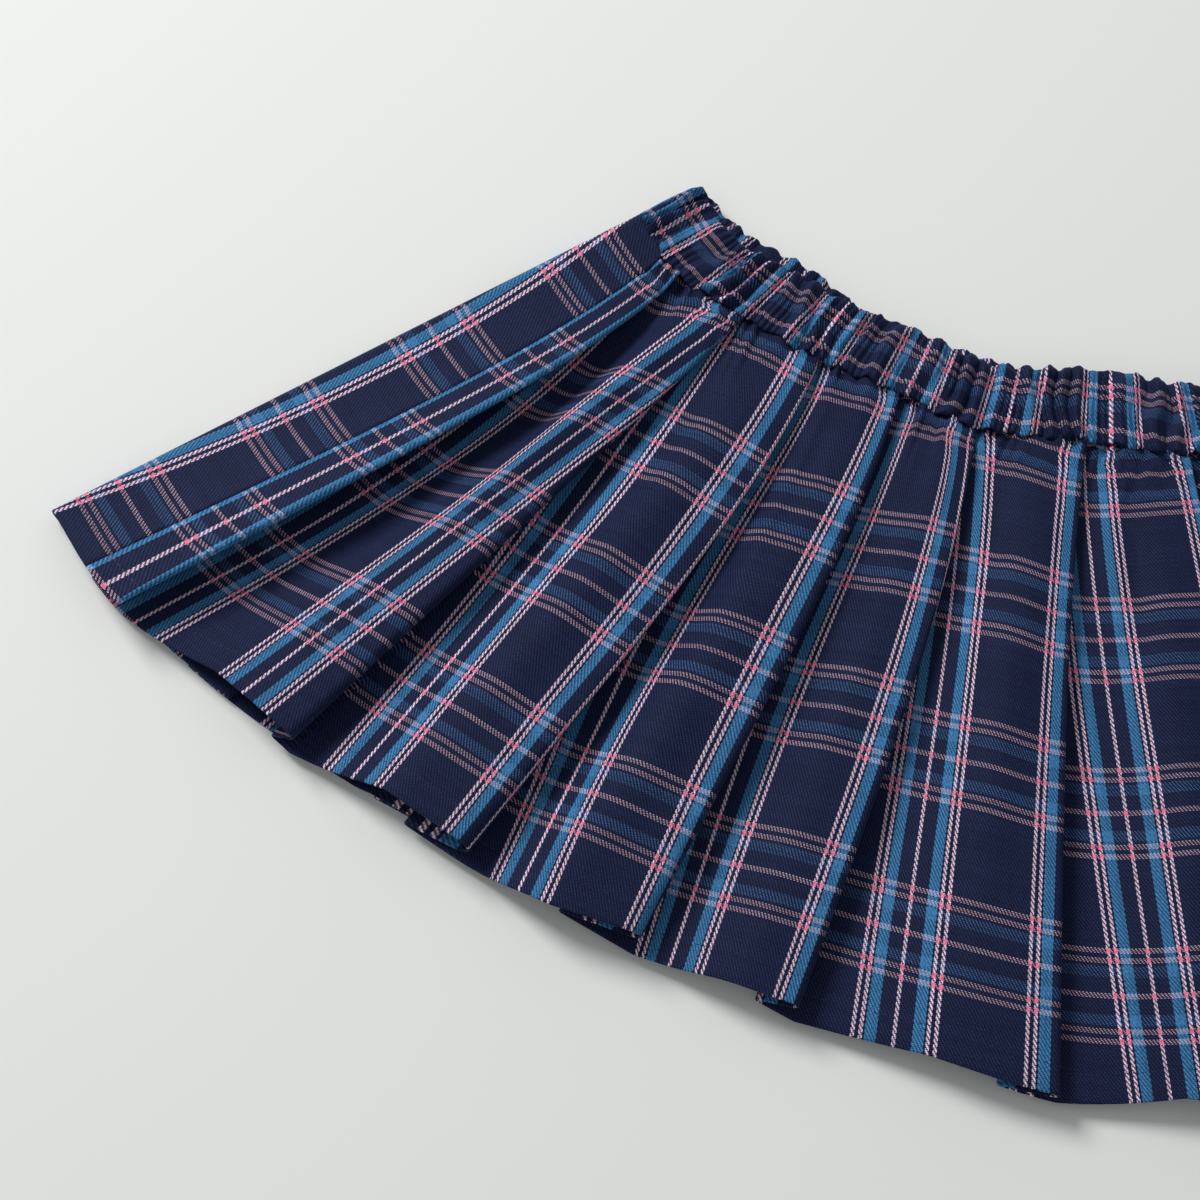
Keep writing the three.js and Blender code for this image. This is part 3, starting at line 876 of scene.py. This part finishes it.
def dyed(tree, cloth, thread):
    """Shade of the dye, the nap and the wear together."""
    dye = add_node(tree, "ShaderNodeTexWhiteNoise", {"W": thread}, noise_dimensions="1D")
    nap = add_node(tree, "ShaderNodeTexNoise", {"Vector": cloth, "Scale": 1 / NAP_TUFT, "Detail": 2.0})
    worn = add_node(tree, "ShaderNodeTexNoise", {"Vector": cloth, "Scale": 1 / WORN_PATCH, "Detail": 3.0})
    shade = 1.0
    for noise, output, share in ((dye, "Value", DYE_SHARE), (nap, "Fac", NAP_SHARE),
                                 (worn, "Fac", WORN_SHARE)):
        part = {0: noise.outputs[output], 1: share[0], 2: share[1]}
        part = add_node(tree, MATH, part, operation="MULTIPLY_ADD")
        shade = add_node(tree, MATH, {0: shade, 1: part}, operation="MULTIPLY")
    return shade


def thread_height(tree, ends, picks, warp_top):
    """Each thread is round, so it stands up along its middle."""
    heights = []
    for threads in (ends, picks):
        inside = add_node(tree, MATH, {0: threads}, operation="FRACT")
        angle = add_node(tree, MATH, {0: inside, 1: math.pi}, operation="MULTIPLY")
        heights.append(add_node(tree, MATH, {0: angle}, operation="SINE"))
    weft_share = add_node(tree, MATH, {0: WEFT_RELIEF, 1: warp_top}, operation="SUBTRACT")
    weft = add_node(tree, MATH, {0: heights[1], 1: weft_share}, operation="MULTIPLY")
    return add_node(tree, MATH, {0: heights[0], 1: warp_top, 2: weft}, operation="MULTIPLY_ADD")


def check_twill():
    """Yarn-dyed school skirting: soft and matt, with threads that show close up."""
    material = new_material("check_twill", TWILL_FINISH)
    tree = material.node_tree
    cloth = add_node(tree, "ShaderNodeUVMap", uv_map="cloth")
    split = add_node(tree, "ShaderNodeSeparateXYZ", {"Vector": cloth})
    ends = add_node(tree, MATH, {0: split.outputs["X"], 1: END_PITCH}, operation="DIVIDE")
    picks = add_node(tree, MATH, {0: split.outputs["Y"], 1: PICK_PITCH}, operation="DIVIDE")
    woven, thread, warp_top = weave(tree, ends, picks)
    shade = dyed(tree, cloth, thread)
    tinted = add_node(tree, "ShaderNodeVectorMath", {0: woven, "Scale": shade}, operation="SCALE")
    relief = {"Height": thread_height(tree, ends, picks, warp_top), "Strength": RELIEF_STRENGTH,
              "Distance": THREAD_RELIEF}
    bump = add_node(tree, "ShaderNodeBump", relief)
    shader = tree.nodes["Principled BSDF"]
    tree.links.new(tinted.outputs[0], shader.inputs["Base Color"])
    tree.links.new(bump.outputs["Normal"], shader.inputs["Normal"])
    return material


twill = check_twill()
for piece in (front, back, band):
    piece.data.materials.append(twill)
print("nodes in the twill:", len(twill.node_tree.nodes))

# %% [markdown]
# ## Hem stitches
# A row of short dark stitches holds the turn-up, about 10 mm above the hem. They could be drawn
# in the material, but real thread stands on the cloth and catches the light. Geometry Nodes
# follow a line along the hem and set one short thread after another, because a stitch line is
# one small shape that repeats along a path.

# %% The line that the stitches follow
HEM_TURN_UP = 10.5 * mm
STITCH_PITCH = 3.4 * mm
STITCH_LENGTH = 1.5 * mm
THREAD_RADIUS = 0.16 * mm
THREAD_SIDES = 6


def hem_line(grid):
    """Points on the face of the cloth, a turn-up's depth above the hem."""
    normal = grid_normals(grid)
    depth = np.linalg.norm(np.cumsum(np.diff(grid[::-1], axis=0), axis=0), axis=-1)
    points = []
    for i in range(grid.shape[1]):
        above = int(np.searchsorted(depth[:, i], HEM_TURN_UP))
        a, b = grid[-1 - above, i], grid[-2 - above, i]
        lower = depth[above - 1, i] if above else 0.0
        t = (HEM_TURN_UP - lower) / (depth[above, i] - lower)
        points.append(mix(a, b, t) + normal[-1 - above, i] * CLOTH / 2)
    return np.array(points)


print("points along the hem:", len(hem_line(front_grid)))

# %% The tree that sews
def stitch_tree():
    """A Geometry Nodes tree that lays short threads along a line of points."""
    tree = bpy.data.node_groups.new("stitches", "GeometryNodeTree")
    for name, kind in (("Line", "NodeSocketGeometry"), ("Pitch", "NodeSocketFloat"),
                       ("Length", "NodeSocketFloat"), ("Radius", "NodeSocketFloat"),
                       ("Thread", "NodeSocketMaterial")):
        tree.interface.new_socket(name, in_out="INPUT", socket_type=kind)
    tree.interface.new_socket("Stitches", in_out="OUTPUT", socket_type="NodeSocketGeometry")
    given = add_node(tree, "NodeGroupInput").outputs
    curve = add_node(tree, "GeometryNodeMeshToCurve", {"Mesh": given["Line"]})
    points = add_node(tree, "GeometryNodeResampleCurve", {"Curve": curve, "Length": given["Pitch"]},
                      mode="LENGTH")
    thread = add_node(tree, "GeometryNodeMeshCylinder", {
        "Vertices": THREAD_SIDES, "Radius": given["Radius"], "Depth": given["Length"]})
    tangent = add_node(tree, "GeometryNodeInputTangent")
    turn = add_node(tree, "FunctionNodeAlignRotationToVector", {"Vector": tangent}, axis="Z")
    placed = add_node(tree, "GeometryNodeInstanceOnPoints", {
        "Points": points, "Instance": thread.outputs["Mesh"], "Rotation": turn})
    real = add_node(tree, "GeometryNodeRealizeInstances", {"Geometry": placed})
    named = add_node(tree, "GeometryNodeSetMaterial", {"Geometry": real, "Material": given["Thread"]})
    add_node(tree, "NodeGroupOutput", {"Stitches": named})
    return tree


sewing = stitch_tree()
print("nodes in the stitches:", len(sewing.nodes))

# %% Two rows of stitches
def sew(name, points, thread):
    """Runs the stitches along a line and keeps them as a plain mesh."""
    path = bpy.data.meshes.new(name + "_path")
    path.from_pydata(points.tolist(), [(i, i + 1) for i in range(len(points) - 1)], [])
    source = bpy.data.objects.new(name + "_path", path)
    bpy.context.scene.collection.objects.link(source)
    modifier = source.modifiers.new("stitches", "NODES")
    modifier.node_group = sewing
    values = {"Pitch": STITCH_PITCH, "Length": STITCH_LENGTH, "Radius": THREAD_RADIUS, "Thread": thread}
    for socket in sewing.interface.items_tree:
        if socket.in_out == "INPUT" and socket.name in values:
            modifier[socket.identifier] = values[socket.name]
    graph = bpy.context.evaluated_depsgraph_get()
    mesh = bpy.data.meshes.new_from_object(source.evaluated_get(graph))
    source.modifiers.remove(modifier)
    bpy.data.objects.remove(source)
    mesh.name = name
    stitches = bpy.data.objects.new(name, mesh)
    bpy.context.scene.collection.objects.link(stitches)
    print(name, "faces:", len(mesh.polygons))
    return stitches


# Spun polyester sewing thread is dark and soft, with hardly any shine.
navy_thread = new_material("navy_polyester_thread", {"Base Color": colour("#141938"), "Roughness": 0.6})
front_stitches = sew("front_hem_stitches", hem_line(front_grid), navy_thread)
back_stitches = sew("back_hem_stitches", hem_line(back_grid), navy_thread)

# %% [markdown]
# ## The surface
# The skirt lies on a plain pale board. It could be left out, but it takes the soft shadow under
# the hem that tells how high the folds stand. A matt painted board gives an even ground.

# %% A painted board
BOARD_HALF = 3.0
BOARD_PAINT = {"Base Color": colour("#dfe0dd"), "Roughness": 0.8}
board = bpy.data.meshes.new("surface")
board_corners = [(x * BOARD_HALF, y * BOARD_HALF, 0) for x, y in ((-1, -1), (1, -1), (1, 1), (-1, 1))]
board.from_pydata(board_corners, [], [(0, 1, 2, 3)])
board.materials.append(new_material("painted_board", BOARD_PAINT))
floor = bpy.data.objects.new("surface", board)
bpy.context.scene.collection.objects.link(floor)
print("board:", 2 * BOARD_HALF, "m wide")

# %% [markdown]
# ## Light and camera
# The skirt is lit by daylight from the upper left. A sun lamp would give hard shadows, so a wide
# round lamp stands for the window and a pale sky fills in the rest. The camera looks down at the
# left two thirds of the skirt.

# %% A window and a pale sky
WINDOW_SIZE, WINDOW_POWER = 1.2, 80
WINDOW_PLACE = (-2.1, 0.93, 1.97)
SKY, SKY_STRENGTH = colour("#f1f4f6"), 0.46
pane = bpy.data.lights.new("window", "AREA")
pane.shape = "DISK"
pane.size = WINDOW_SIZE
pane.energy = WINDOW_POWER
window = bpy.data.objects.new("window", pane)
window.location = WINDOW_PLACE
window.rotation_euler = (-window.location).to_track_quat("-Z", "Y").to_euler()
bpy.context.scene.collection.objects.link(window)
world = bpy.data.worlds.new("sky")
bpy.context.scene.world = world
world.use_nodes = True
world.node_tree.nodes["Background"].inputs["Color"].default_value = SKY
world.node_tree.nodes["Background"].inputs["Strength"].default_value = SKY_STRENGTH
print(f"the window is {window.location.length:.1f} m away")

# %% The camera
SENSOR, LENS = 36, 76.8  # millimetres, as a camera's data are given
CAMERA_PLACE = (46.5 * mm, -370.3 * mm, 956 * mm)
CAMERA_TILT, CAMERA_TURN = 21, 22  # degrees
camera_data = bpy.data.cameras.new("camera")
camera_data.sensor_width = SENSOR
camera_data.lens = LENS
camera = bpy.data.objects.new("camera", camera_data)
camera.location = CAMERA_PLACE
camera.rotation_euler = (math.radians(CAMERA_TILT), 0, math.radians(CAMERA_TURN))
bpy.context.scene.collection.objects.link(camera)
bpy.context.scene.camera = camera
bpy.context.scene.view_settings.view_transform = "Standard"
print(f"the camera sees {math.degrees(camera_data.angle):.0f} degrees")

# %% [markdown]
# ## The pieces on the body
# The skirt is one body, so every piece rides on it, and each cloth piece stands for the solid of
# the same part in the frame.

# %% Pieces on the body
for piece, node_name, slot_name in ((front, "front_panel", "check_cloth"),
                                    (back, "back_panel", "check_cloth"),
                                    (band, "waistband", "band_cloth")):
    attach(piece, "root")
    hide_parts(node_name)
for stitches in (front_stitches, back_stitches):
    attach(stitches, "root")
